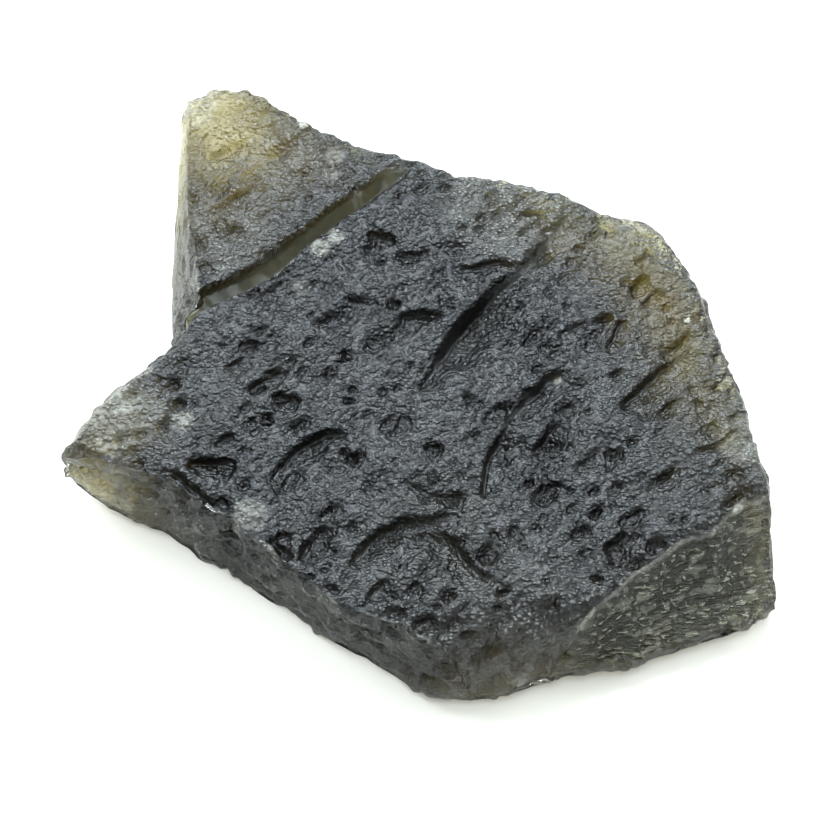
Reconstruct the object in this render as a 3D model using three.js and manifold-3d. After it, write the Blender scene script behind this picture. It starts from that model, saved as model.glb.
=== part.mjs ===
// A raw moldavite: one flat, etched splash of natural glass, broken all round its rim.
// Millimetres, +Z up. The origin is under the middle of its box, on the surface that it rests on.
import * as THREE from 'three';
import { mergeVertices } from 'three/addons/utils/BufferGeometryUtils.js';
import Module from 'manifold-3d';

// Driving sizes
const plateau = 5.0; // height of the etched upper face
const swellHeight = 0.3; // slow rise and fall of the upper face
const swellSpan = 7.5;
const lumpHeight = 0.16; // lumps of the etched skin
const lumpSpan = 1.9;
const scarpWidth = 0.85; // width of the steep side of each scar
const wallBulge = 0.18; // how far the broken wall stands out at half height
const wallRough = 0.2; // lumps of the broken wall
const wallSpan = 1.7; // their length along the wall
const wallLayers = 2.5; // how many of them stand over each other
const rimChip = 0.16; // chips along the rim
const chipSpan = 1.3;
const lipHeight = 0.6; // upright lip under the scooped slope
const slopeShare = 0.8; // share of the scooped wall that the slope takes
const scoopPower = 1.9; // how hollow the slope is
const restRadius = 6.0; // flat part of the underside, which the stone rests on
const restFade = 2.0; // ring round it over which the hollows begin
const curlStart = 0.46; // share of the way out where the underside starts to lift
const curlPower = 1.3; // how late it lifts
const dimpleDepth = 0.4; // shallow dimples of the underside
const dimpleSpan = 2.4;
const underRimShare = 0.15; // outer share of the underside over which they end
const boxMiddle = [-0.11, 0.32]; // middle of the box of what is drawn below, which goes to the origin

// Grid
const topCells = 50; // cells along each side of the upper face's grid
const wallRows = 6;
const wallColumns = 4 * topCells;
const underCells = topCells / 2;

// Stations round the rim, anticlockwise from the left tip: the edge of the upper face, the foot of the
// wall under it, how far in the upper face starts to round off, and how scooped the wall is (0 to 1).
const rimStations = [
  [[-16.5, -4.7, 4.4], [-16.3, -4.7, 1.7], 0.6, 0],
  [[-14.4, -5.5, 4.8], [-14.7, -5.6, 0.8], 0.5, 0],
  [[-11.3, -6.5, 4.8], [-11.6, -6.9, 0.1], 0.5, 0],
  [[-9.8, -7.7, 4.8], [-10.2, -7.9, 0.0], 0.5, 0],
  [[-8.4, -8.4, 4.8], [-9.0, -8.6, 0.0], 0.5, 0],
  [[-7.6, -9.5, 4.8], [-8.0, -9.3, 0.0], 0.6, 0],
  [[-6.5, -10.1, 4.8], [-7.0, -10.0, 0.0], 0.6, 0],
  [[-5.5, -11.3, 4.8], [-5.9, -10.7, 0.0], 0.6, 0],
  [[-2.9, -13.3, 4.8], [-3.3, -12.6, 0.0], 0.7, 0],
  [[-0.2, -14.1, 4.7], [-0.3, -14.7, 0.2], 0.9, 0],
  [[0.9, -14.7, 4.0], [0.7, -15.2, 0.3], 1.5, 0],
  [[1.7, -15.1, 2.8], [1.6, -15.3, 0.4], 2.3, 0],
  [[2.2, -15.5, 1.3], [2.3, -15.5, 0.5], 3.0, 0],
  [[3.9, -15.3, 1.3], [3.9, -15.3, 0.6], 3.2, 0],
  [[5.8, -14.6, 1.3], [5.8, -14.5, 0.6], 3.0, 0],
  [[6.4, -13.9, 1.9], [6.7, -14.3, 0.7], 2.2, 0.4],
  [[6.9, -13.6, 3.0], [7.4, -14.3, 0.7], 1.6, 0.8],
  [[7.7, -13.0, 4.0], [8.3, -14.2, 0.7], 1.2, 1],
  [[9.3, -11.5, 4.3], [10.1, -13.8, 0.7], 1.3, 1],
  [[10.4, -10.8, 4.3], [11.0, -13.4, 0.7], 1.5, 1],
  [[11.6, -9.6, 4.3], [12.3, -12.9, 0.7], 1.6, 1],
  [[13.1, -9.1, 4.3], [13.5, -12.4, 0.7], 1.6, 1],
  [[14.4, -7.9, 4.4], [14.9, -12.1, 0.7], 0.9, 1],
  [[15.8, -7.3, 4.4], [16.2, -11.0, 0.7], 0.7, 0.8],
  [[15.8, -6.6, 4.5], [16.2, -8.6, 0.8], 0.5, 0.3],
  [[15.6, -6.0, 4.6], [16.0, -6.5, 1.1], 0.4, 0],
  [[14.8, -1.6, 4.6], [14.2, -1.7, 2.0], 0.4, 0],
  [[14.0, 1.1, 4.6], [13.5, 0.9, 1.9], 0.4, 0],
  [[13.3, 3.6, 4.6], [12.9, 3.3, 1.9], 0.4, 0],
  [[12.6, 5.7, 4.6], [12.2, 5.4, 1.9], 0.4, 0],
  [[11.0, 7.8, 4.6], [10.7, 7.3, 1.9], 0.5, 0],
  [[8.7, 8.4, 4.6], [8.6, 7.9, 1.7], 0.5, 0],
  [[7.4, 9.2, 4.7], [7.2, 8.8, 1.2], 0.4, 0],
  [[3.9, 10.4, 4.8], [3.8, 10.6, 0.3], 0.4, 0],
  [[1.7, 10.6, 4.8], [1.6, 11.0, 0.1], 0.4, 0],
  [[0.0, 11.6, 4.6], [0.0, 11.9, 0.3], 0.4, 0],
  [[-1.9, 12.0, 4.8], [-2.0, 12.2, 0.8], 0.4, 0],
  [[-5.9, 13.9, 4.7], [-6.0, 13.9, 2.3], 0.4, 0],
  [[-7.5, 15.2, 4.6], [-7.5, 15.1, 2.9], 0.5, 0],
  [[-8.7, 16.0, 4.6], [-8.7, 15.9, 3.2], 0.5, 0],
  [[-10.1, 16.1, 4.5], [-10.1, 16.1, 3.4], 0.5, 0],
  [[-11.6, 15.3, 4.4], [-11.7, 15.3, 3.2], 0.4, 0],
  [[-11.3, 10.3, 4.8], [-12.1, 10.2, 1.2], 0.3, 0],
  [[-10.9, 6.7, 4.9], [-12.2, 6.6, 0.3], 0.3, 0],
  [[-10.4, 3.5, 4.9], [-12.1, 4.4, 0.0], 0.2, 0],
  [[-11.1, 2.6, 4.8], [-12.0, 3.0, 0.1], 0.2, 0],
  [[-10.9, 1.4, 4.7], [-12.0, 2.0, 0.2], 0.5, 0],
  [[-11.9, 0.4, 4.7], [-12.6, 0.9, 0.4], 0.6, 0],
  [[-15.2, -2.7, 4.7], [-15.6, -2.4, 1.3], 0.6, 0],
];

// Scars of the upper face: the path, with its steep scarp on the left, the depths at its start, middle
// and end, the width of the floor on its right, and the reach over which that floor climbs back
const scars = [
  [[[3.2, 3.4], [4.5, 4.5], [5.8, 6.0], [7.6, 8.9]], [0.15, 0.3, 0.1], 0, 3.5],
  [[[0.6, -0.8], [1.8, 1.4], [3.7, 3.8], [4.8, 5.1]], [0.35, 0.95, 0.3], 0.3, 0.8],
  [[[1.2, 4.9], [2.4, 5.0], [4.9, 5.2]], [0.1, 0.25, 0.25], 0.05, 0.6],
  [[[-2.7, 6.7], [-1.7, 6.9], [-1.0, 6.3]], [0.2, 0.3, 0.15], 0.15, 0.6],
  [[[-1.2, 0.3], [-0.7, 2.3], [0.1, 2.6], [1.3, 1.7]], [0.12, 0.35, 0.35], 0.15, 1.0],
  [[[3.1, -7.8], [3.0, -5.8], [4.3, -3.3]], [0.15, 0.35, 0.3], 0.15, 1.4],
  [[[3.8, -4.2], [5.1, -2.1], [7.1, -0.3]], [0.15, 0.5, 0.15], 0.15, 0.7],
  [[[4.9, -5.5], [5.7, -4.3], [6.8, -3.2]], [0.12, 0.4, 0.1], 0.1, 0.6],
  [[[9.2, -3.2], [10.2, -1.6], [12.2, 0.2], [13.7, 1.2]], [0.25, 0.45, 0.12], 0.25, 1.0],
  [[[11.2, 0.0], [12.9, 1.7]], [0.1, 0.3, 0.1], 0.1, 0.6],
  [[[9.0, 0.1], [9.0, 1.2], [10.0, 2.2]], [0.1, 0.3, 0.12], 0.2, 0.6],
  [[[8.1, 2.0], [9.3, 2.2]], [0.15, 0.3, 0.15], 0.2, 0.5],
  [[[10.1, 3.2], [10.5, 4.5], [11.0, 4.6]], [0.12, 0.35, 0.12], 0.35, 0.5],
  [[[8.2, -10.3], [9.4, -9.4], [10.3, -9.4]], [0.15, 0.4, 0.1], 0.15, 0.6],
  [[[-10.8, -6.0], [-9.6, -5.4], [-8.1, -5.6]], [0.2, 0.4, 0.12], 0.15, 0.6],
  [[[-6.8, -7.4], [-5.9, -5.2], [-4.2, -4.0], [-3.5, -4.8]], [0.15, 0.4, 0.25], 0.2, 0.9],
  [[[-8.1, -2.6], [-7.0, -1.0], [-5.4, 0.1]], [0.1, 0.25, 0.1], 0.1, 0.8],
  [[[-3.2, -11.6], [-2.6, -10.1], [-0.8, -8.7], [2.1, -8.0]], [0.12, 0.4, 0.2], 0.1, 1.2],
  [[[-0.3, -9.4], [1.3, -9.6], [2.1, -10.8], [4.3, -12.1]], [0.1, 0.5, 0.15], 0.15, 0.8],
  [[[-0.4, -8.1], [0.7, -7.4], [2.3, -7.7]], [0.1, 0.3, 0.2], 0.1, 0.7],
  [[[-5.5, -10.9], [-5.0, -9.8], [-4.3, -9.2]], [0.12, 0.35, 0.15], 0.3, 0.7],
];
const scarFade = 1 / 6; // share of a scar's path over which each end runs out

// The straight groove that sets the upper left lobe apart: where the lobe's edge starts and ends, how far
// below the upper face the foot of its cliff is at each end, how much lower the floor's far side is, and
// the widths of its cliff, its floor and its far bank
const grooveStart = [-12.4, 1.3];
const grooveEnd = [-0.8, 11.6];
const grooveDepths = [1.0, 0.3];
const floorFall = 0.25;
const cliffWidth = 0.3;
const floorWidth = 0.75;
const bankWidth = 0.25;
const headroom = 1.5; // how far the cut reaches above the upper face

// Round pits of the upper face: x, y, radius, depth
const pits = [
  [-3.3, -2.4, 1.0, 0.4],
  [-6.1, -2.6, 1.0, 0.4],
  [10.2, 4.1, 1.2, 0.4],
  [11.5, 3.3, 1.1, 0.4],
  [8.8, -5.4, 1.0, 0.2],
  [2.6, -2.7, 1.0, 0.2],
  [3.9, -3.1, 1.0, 0.2],
  [-9.5, 7.5, 1.1, 0.3],
];

// Hollows of the underside, where the stone is thin: x, y, radius, height
const hollows = [
  [-8.5, 9.5, 6.5, 1.1],
  [-13.5, -3.3, 4.0, 0.7],
  [11.5, 3.0, 5.0, 0.8],
];

const clamp01 = (value) => Math.min(1, Math.max(0, value));
const ease = (value) => clamp01(value) ** 2 * (3 - 2 * clamp01(value));
const mix = (from, to, share) => from + (to - from) * share;

// A fixed scatter of values from -1 to 1 on the whole numbers, eased in between
function scatter(column, row) {
  const wave = Math.sin(column * 127.1 + row * 311.7) * 43758.5453;
  return 2 * (wave - Math.floor(wave)) - 1;
}

function waviness(x, y) {
  const column = Math.floor(x);
  const row = Math.floor(y);
  const right = ease(x - column);
  const up = ease(y - row);
  const low = mix(scatter(column, row), scatter(column + 1, row), right);
  const high = mix(scatter(column, row + 1), scatter(column + 1, row + 1), right);
  return mix(low, high, up);
}

// Distance run along the rim to each station
const rimRun = [0];
rimStations.forEach(([edge], index) => {
  const [next] = rimStations[(index + 1) % rimStations.length];
  rimRun.push(rimRun[index] + Math.hypot(next[0] - edge[0], next[1] - edge[1]));
});
const rimLength = rimRun[rimStations.length];

// The rim at a share of its length
function rimAt(share) {
  const run = (share - Math.floor(share)) * rimLength;
  const index = rimRun.findLastIndex((start) => start <= run);
  const from = rimStations[index];
  const to = rimStations[(index + 1) % rimStations.length];
  const along = (run - rimRun[index]) / (rimRun[index + 1] - rimRun[index]);
  const between = (part, axis) => mix(from[part][axis], to[part][axis], along);
  const reachOut = Math.hypot(between(0, 0), between(0, 1));
  const chip = 1 + (rimChip / reachOut) * waviness(run / chipSpan, 3.5);
  return {
    run,
    edge: [between(0, 0) * chip, between(0, 1) * chip, between(0, 2)],
    foot: [between(1, 0) * chip, between(1, 1) * chip, between(1, 2)],
    round: mix(from[2], to[2], along),
    scoop: mix(from[3], to[3], along),
  };
}

// Depth of one scar at a point: the nearest stretch of its path sets the side and the place along it
function scarDepth([path, depths, floor, reach], x, y) {
  const stretches = path.length - 1;
  let nearest = Infinity;
  let side = 1;
  let along = 0;
  for (let index = 0; index < stretches; index += 1) {
    const [startX, startY] = path[index];
    const [endX, endY] = path[index + 1];
    const spanX = endX - startX;
    const spanY = endY - startY;
    const part = clamp01(((x - startX) * spanX + (y - startY) * spanY) / (spanX ** 2 + spanY ** 2));
    const awayX = x - startX - part * spanX;
    const awayY = y - startY - part * spanY;
    const distance = Math.hypot(awayX, awayY);
    if (distance < nearest) {
      nearest = distance;
      side = Math.sign(awayX * spanY - awayY * spanX) || 1;
      along = (index + part) / stretches;
    }
  }
  const across = side < 0 ? ease(1 - nearest / scarpWidth) : ease(1 - (nearest - floor) / reach);
  const [start, middle, end] = depths;
  const depth = along < 0.5 ? mix(start, middle, 2 * along) : mix(middle, end, 2 * along - 1);
  return depth * across * ease(Math.min(along, 1 - along) / scarFade);
}

// A round hollow's depth at a point, level in its middle and at its rim
function pitDepth([centreX, centreY, radius, depth], x, y) {
  const share = Math.hypot(x - centreX, y - centreY) / radius;
  return depth * Math.max(0, 1 - share ** 2) ** 2;
}

// Height of the upper face away from its rim
function upperHeight(x, y) {
  let height = plateau + swellHeight * waviness(x / swellSpan + 4, y / swellSpan);
  height += lumpHeight * waviness(x / lumpSpan, y / lumpSpan + 9);
  scars.forEach((scar) => {
    height -= scarDepth(scar, x, y);
  });
  pits.forEach((pit) => {
    height -= pitDepth(pit, x, y);
  });
  return height;
}

// Point of the upper face: out is the share of the way from the middle to the rim. The face rounds off
// to the rim's height along a quarter of an ellipse.
function upperPoint(out, turn) {
  const rim = rimAt(turn);
  const x = out * rim.edge[0];
  const y = out * rim.edge[1];
  const inward = (1 - out) * Math.hypot(rim.edge[0], rim.edge[1]);
  const left = clamp01(1 - inward / rim.round);
  const roundOff = 1 - Math.sqrt(1 - left ** 2);
  return [x, y, mix(upperHeight(x, y), rim.edge[2], roundOff)];
}

// Point of the underside: flat where the stone rests, dimpled and hollow round that, lifting to the foot
function underPoint(out, turn) {
  const { foot } = rimAt(turn);
  const x = out * foot[0];
  const y = out * foot[1];
  const lift = foot[2] * clamp01((out - curlStart) / (1 - curlStart)) ** curlPower;
  const beyondRest = ease((Math.hypot(x, y) - restRadius) / restFade) * ease((1 - out) / underRimShare);
  let raised = dimpleDepth * Math.max(0, waviness(x / dimpleSpan, y / dimpleSpan + 30));
  hollows.forEach((hollow) => {
    raised += pitDepth(hollow, x, y);
  });
  return [x, y, lift + raised * beyondRest];
}

// Point of the wall, at a share of the way down: a bulging broken face, or a hollow slope over a lip
function wallPoint(down, turn) {
  const { run, edge, foot, scoop } = rimAt(turn);
  const outward = Math.hypot(foot[0], foot[1]);
  const lumps = wallRough * waviness(run / wallSpan, down * wallLayers + 50);
  const stand = (wallBulge * (1 - scoop) + lumps) * Math.sin(Math.PI * down);
  const across = mix(down, clamp01(down / slopeShare), scoop);
  const x = mix(edge[0], foot[0], across) + (stand * foot[0]) / outward;
  const y = mix(edge[1], foot[1], across) + (stand * foot[1]) / outward;
  const straight = mix(edge[2], foot[2], down);
  const lipTop = foot[2] + lipHeight;
  const slope = mix(lipTop, edge[2], (1 - clamp01(down / slopeShare)) ** scoopPower);
  const lip = mix(lipTop, foot[2], (down - slopeShare) / (1 - slopeShare));
  const hollow = down < slopeShare ? slope : lip;
  return [x, y, mix(straight, hollow, scoop)];
}

// Square grid to disc: the square's rings become circles, evenly divided
function discPlace(across, up) {
  const out = Math.max(Math.abs(across), Math.abs(up));
  if (out === 0) return [0, 0];
  const flat = Math.abs(across) > Math.abs(up);
  const angle = flat ? (Math.PI / 4) * (up / across) : Math.PI / 2 - (Math.PI / 4) * (across / up);
  const opposite = flat ? across < 0 : up < 0;
  return [out, (angle + (opposite ? Math.PI : 0)) / (2 * Math.PI)];
}

// The grid's outer points in order, anticlockwise from its lower right corner
function borderOf(cells) {
  const at = (column, row) => row * (cells + 1) + column;
  const border = [];
  for (let step = 0; step < cells; step += 1) border.push(at(cells, step));
  for (let step = 0; step < cells; step += 1) border.push(at(cells - step, cells));
  for (let step = 0; step < cells; step += 1) border.push(at(0, cells - step));
  for (let step = 0; step < cells; step += 1) border.push(at(step, 0));
  return border;
}

// The whole slab, before the groove is cut
function slabGeometry() {
  const points = [];
  const triangles = [];

  // Four corners in order, split along the diagonal whose ends differ less in height
  function addCell(first, second, third, fourth, faceUp) {
    const fall = Math.abs(points[first][2] - points[third][2]);
    const otherFall = Math.abs(points[second][2] - points[fourth][2]);
    const split = fall < otherFall
      ? [[first, second, third], [first, third, fourth]]
      : [[first, second, fourth], [second, third, fourth]];
    split.forEach((corners) => triangles.push(faceUp ? corners : corners.reverse()));
  }

  function addFace(cells, pointAt, faceUp) {
    const first = points.length;
    for (let row = 0; row <= cells; row += 1) {
      for (let column = 0; column <= cells; column += 1) {
        const [out, turn] = discPlace((2 * column) / cells - 1, (2 * row) / cells - 1);
        points.push(pointAt(out, turn));
      }
    }
    for (let row = 0; row < cells; row += 1) {
      for (let column = 0; column < cells; column += 1) {
        const corner = first + row * (cells + 1) + column;
        addCell(corner, corner + 1, corner + cells + 2, corner + cells + 1, faceUp);
      }
    }
    return borderOf(cells).map((index) => first + index);
  }

  const upperRim = addFace(topCells, upperPoint, true);
  const underRim = addFace(underCells, underPoint, false);

  let ring = upperRim;
  for (let row = 1; row < wallRows; row += 1) {
    const next = [];
    for (let column = 0; column < wallColumns; column += 1) {
      next.push(points.length);
      points.push(wallPoint(row / wallRows, column / wallColumns - 1 / 8));
    }
    for (let column = 0; column < wallColumns; column += 1) {
      const beside = (column + 1) % wallColumns;
      triangles.push([ring[column], next[column], next[beside]], [ring[column], next[beside], ring[beside]]);
    }
    ring = next;
  }

  // The last row of the wall meets the underside, which has half as many points
  for (let pair = 0; pair < wallColumns / 2; pair += 1) {
    const low = underRim[pair];
    const lowNext = underRim[(pair + 1) % (wallColumns / 2)];
    const [left, middle, right] = [0, 1, 2].map((step) => ring[(2 * pair + step) % wallColumns]);
    triangles.push([left, low, middle], [middle, low, lowNext], [middle, lowNext, right]);
  }

  const geometry = new THREE.BufferGeometry();
  geometry.setAttribute('position', new THREE.Float32BufferAttribute(points.flat(), 3));
  geometry.setIndex(triangles.flat());
  return geometry;
}

// A wedge-shaped bar that lies where the groove is, from above the far end down past the near one
function grooveGeometry() {
  const [depth, farDepth] = grooveDepths;
  const rise = headroom / depth;
  const floorEnd = cliffWidth + floorWidth;
  const outline = new THREE.Shape([
    new THREE.Vector2(-rise * cliffWidth, headroom),
    new THREE.Vector2(cliffWidth, -depth),
    new THREE.Vector2(floorEnd, -depth - floorFall),
    new THREE.Vector2(floorEnd + (1 + rise) * bankWidth, headroom),
  ]);
  const start = new THREE.Vector3(...grooveStart, plateau);
  const end = new THREE.Vector3(...grooveEnd, plateau + depth - farDepth);
  const along = new THREE.Vector3().subVectors(start, end);
  const bar = new THREE.ExtrudeGeometry(outline, { depth: along.length(), bevelEnabled: false });
  along.normalize();
  const across = new THREE.Vector3().crossVectors(new THREE.Vector3(0, 0, 1), along).normalize();
  const upward = new THREE.Vector3().crossVectors(along, across);
  return bar.applyMatrix4(new THREE.Matrix4().makeBasis(across, upward, along).setPosition(end));
}

const wasm = await Module();
wasm.setup();

function solidOf(geometry) {
  const bare = geometry.clone();
  bare.deleteAttribute('normal');
  bare.deleteAttribute('uv');
  const merged = mergeVertices(bare);
  return new wasm.Manifold(new wasm.Mesh({
    numProp: 3,
    vertProperties: new Float32Array(merged.attributes.position.array),
    triVerts: new Uint32Array(merged.index.array),
  }));
}

function geometryOf(solid) {
  const mesh = solid.getMesh();
  const geometry = new THREE.BufferGeometry();
  geometry.setAttribute('position', new THREE.BufferAttribute(mesh.vertProperties, 3));
  geometry.setIndex(new THREE.BufferAttribute(mesh.triVerts, 1));
  geometry.computeVertexNormals();
  return geometry;
}

const etchedGlass = new THREE.MeshStandardMaterial({ color: 0x4d5349, roughness: 0.4, metalness: 0 });
const grooved = solidOf(slabGeometry()).subtract(solidOf(grooveGeometry()));
const stone = new THREE.Mesh(geometryOf(grooved), etchedGlass);
stone.name = 'moldavite';
stone.position.set(-boxMiddle[0], -boxMiddle[1], 0);

const moldavite = new THREE.Group();
moldavite.add(stone);

export default moldavite;
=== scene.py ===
import math
import bpy
import numpy as np
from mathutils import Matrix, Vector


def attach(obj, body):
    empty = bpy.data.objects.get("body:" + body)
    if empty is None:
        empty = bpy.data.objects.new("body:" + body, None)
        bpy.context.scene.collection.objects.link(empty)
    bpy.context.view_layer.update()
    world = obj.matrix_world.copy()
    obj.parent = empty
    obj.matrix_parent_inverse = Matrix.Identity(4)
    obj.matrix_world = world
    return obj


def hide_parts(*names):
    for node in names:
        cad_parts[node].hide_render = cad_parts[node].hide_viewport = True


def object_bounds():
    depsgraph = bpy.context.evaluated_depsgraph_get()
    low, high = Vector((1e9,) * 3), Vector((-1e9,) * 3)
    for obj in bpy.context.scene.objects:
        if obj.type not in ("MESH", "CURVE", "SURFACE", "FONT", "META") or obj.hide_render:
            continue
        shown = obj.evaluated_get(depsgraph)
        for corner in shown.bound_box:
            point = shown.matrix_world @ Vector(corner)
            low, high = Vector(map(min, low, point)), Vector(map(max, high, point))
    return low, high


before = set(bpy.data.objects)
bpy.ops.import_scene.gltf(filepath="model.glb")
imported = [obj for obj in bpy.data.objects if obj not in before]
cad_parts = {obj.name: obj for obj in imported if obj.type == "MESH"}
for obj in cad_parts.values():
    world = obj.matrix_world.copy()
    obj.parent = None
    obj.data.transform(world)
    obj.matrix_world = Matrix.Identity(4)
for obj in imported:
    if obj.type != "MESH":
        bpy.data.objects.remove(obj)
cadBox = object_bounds()

mm = 0.001  # the tables below are in millimetres, the scene is in metres

# The stone's shape, as its solid has it, a little lower to leave room for the skin, on a finer grid
stone = {
    "plateau": 4.94,  # height of the upper face
    "swells": (0.3, 7.5),  # height and span
    "lumps": (0.16, 1.9),
    "crest": (0.15, 0.25),  # height and width
    "scarMargin": 0.4,  # the scars end this near to the rim
    "rimChips": ((0.16, 1.3), (0.06, 0.3)),  # depth and span
    "wallBulge": 0.18,
    "wallLumps": (0.2, 1.7, 2.5),  # height, span along the rim, number from edge to foot
    "lipHeight": 0.6,
    "scoopPower": 1.9,
    "scoopShare": 0.8,  # how far down the scoop meets the lip
    "rippleEnd": 0.1,  # over what share the ripples end above the lip
    "restRadius": 6.0,
    "restFade": 2.0,
    "hollowMargin": 0.15,  # the hollows end this share short of the foot
    "curlStart": 0.46,  # where the underside starts to lift, and how it goes on
    "curlPower": 1.3,
    "dimples": (0.4, 2.4),  # depth and span
    "boxMiddle": (-0.11, 0.32),  # of these tables, which lies over the frame's origin
    "thinGlass": 2.2,  # clearest at this thickness, and darkest when thicker by the span
    "thickSpan": 2.9,
    "topCells": 248,  # squares along each side of the upper face's grid
    "wallRows": 34,
    "rowCrowding": 1.15,  # above 1 puts the wall's rows closer together near the edge
}

# Stations round the rim, anticlockwise from the left tip: edge of the upper face, foot of the wall,
# how far in the upper face starts to round off, how scooped the wall is
rimStations = [
    ((-16.5, -4.7, 4.1), (-16.3, -4.7, 1.7), 0.9, 0),
    ((-14.4, -5.5, 4.8), (-14.7, -5.6, 0.8), 0.5, 0),
    ((-11.3, -6.5, 4.8), (-11.6, -6.9, 0.1), 0.5, 0),
    ((-9.8, -7.7, 4.8), (-10.2, -7.9, 0.0), 0.5, 0),
    ((-8.4, -8.4, 4.8), (-9.0, -8.6, 0.0), 0.5, 0),
    ((-7.6, -9.5, 4.8), (-8.0, -9.3, 0.0), 0.6, 0),
    ((-6.5, -10.1, 4.8), (-7.0, -10.0, 0.0), 0.6, 0),
    ((-5.5, -11.3, 4.8), (-5.9, -10.7, 0.0), 0.6, 0),
    ((-2.9, -13.3, 4.8), (-3.3, -12.6, 0.0), 0.7, 0),
    ((-0.2, -14.1, 4.7), (-0.3, -14.7, 0.2), 0.9, 0),
    ((0.9, -14.7, 4.0), (0.7, -15.2, 0.3), 1.5, 0),
    ((1.7, -15.1, 2.8), (1.6, -15.3, 0.4), 2.3, 0),
    ((2.2, -15.5, 1.3), (2.3, -15.5, 0.5), 3.0, 0),
    ((3.9, -15.3, 1.3), (3.9, -15.3, 0.6), 3.2, 0),
    ((5.8, -14.6, 1.3), (5.8, -14.5, 0.6), 3.0, 0),
    ((6.4, -13.9, 1.9), (6.7, -14.3, 0.7), 2.2, 0.4),
    ((6.9, -13.6, 3.0), (7.4, -14.3, 0.7), 1.6, 0.8),
    ((7.7, -13.0, 4.0), (8.3, -14.2, 0.7), 1.2, 1),
    ((9.3, -11.5, 4.3), (10.1, -13.8, 0.7), 1.3, 1),
    ((10.4, -10.8, 4.3), (11.0, -13.4, 0.7), 1.5, 1),
    ((11.6, -9.6, 4.3), (12.3, -12.9, 0.7), 1.6, 1),
    ((13.1, -9.1, 4.3), (13.5, -12.4, 0.7), 1.6, 1),
    ((14.4, -7.9, 4.4), (14.9, -12.1, 0.7), 0.9, 1),
    ((15.8, -7.3, 4.4), (16.2, -11.0, 0.7), 0.7, 0.8),
    ((15.8, -6.6, 4.5), (16.2, -8.6, 0.8), 0.5, 0.3),
    ((15.6, -6.0, 4.6), (16.0, -6.5, 1.1), 0.4, 0),
    ((14.8, -1.6, 4.6), (14.2, -1.7, 2.0), 0.4, 0),
    ((14.0, 1.1, 4.6), (13.5, 0.9, 1.9), 0.4, 0),
    ((13.3, 3.6, 4.6), (12.9, 3.3, 1.9), 0.4, 0),
    ((12.6, 5.7, 4.6), (12.2, 5.4, 1.9), 0.4, 0),
    ((11.0, 7.8, 4.6), (10.7, 7.3, 1.9), 0.5, 0),
    ((8.7, 8.4, 4.6), (8.6, 7.9, 1.7), 0.5, 0),
    ((7.4, 9.2, 4.7), (7.2, 8.8, 1.2), 0.4, 0),
    ((3.9, 10.4, 4.8), (3.8, 10.6, 0.3), 0.4, 0),
    ((1.7, 10.6, 4.8), (1.6, 11.0, 0.1), 0.4, 0),
    ((0.0, 11.6, 4.6), (0.0, 11.9, 0.3), 0.4, 0),
    ((-1.9, 12.0, 4.8), (-2.0, 12.2, 0.8), 0.4, 0),
    ((-5.9, 13.9, 4.7), (-6.0, 13.9, 1.5), 0.4, 0),
    ((-7.5, 15.2, 4.6), (-7.5, 15.1, 2.2), 0.5, 0),
    ((-8.7, 16.0, 4.6), (-8.7, 15.9, 3.2), 0.5, 0),
    ((-10.1, 16.1, 4.5), (-10.1, 16.1, 3.4), 0.5, 0),
    ((-11.6, 15.3, 4.4), (-11.7, 15.3, 3.2), 0.4, 0),
    ((-11.3, 10.3, 4.8), (-12.1, 10.2, 1.2), 0.3, 0),
    ((-10.9, 6.7, 4.9), (-12.2, 6.6, 0.3), 0.3, 0),
    ((-10.4, 3.5, 4.9), (-12.1, 4.4, 0.0), 0.2, 0),
    ((-11.1, 2.6, 3.7), (-12.0, 3.0, 0.1), 0.2, 0),
    ((-10.9, 1.4, 4.7), (-12.0, 2.0, 0.2), 0.5, 0),
    ((-11.9, 0.4, 4.5), (-12.6, 0.9, 0.4), 0.9, 0),
    ((-15.2, -2.7, 4.2), (-15.6, -2.4, 1.3), 1.1, 0),
]

# Hollows of the underside, where the stone is thin: x, y, radius, height
hollows = [
    (-8.5, 9.5, 6.5, 0.7),
    (-10.7, 14.0, 4.4, 1.1),
    (-13.5, -3.3, 4.0, 0.9),
    (11.5, 3.0, 5.0, 0.8),
]

# What all strokes share
strokeShape = {
    "fade": 4.0,  # how fast they deepen from their ends
    "scarpOverlap": 0.1,  # how far a scarp's looks reach past its foot
    "wobble": (0.1, 0.6),  # depth and span
}

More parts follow.
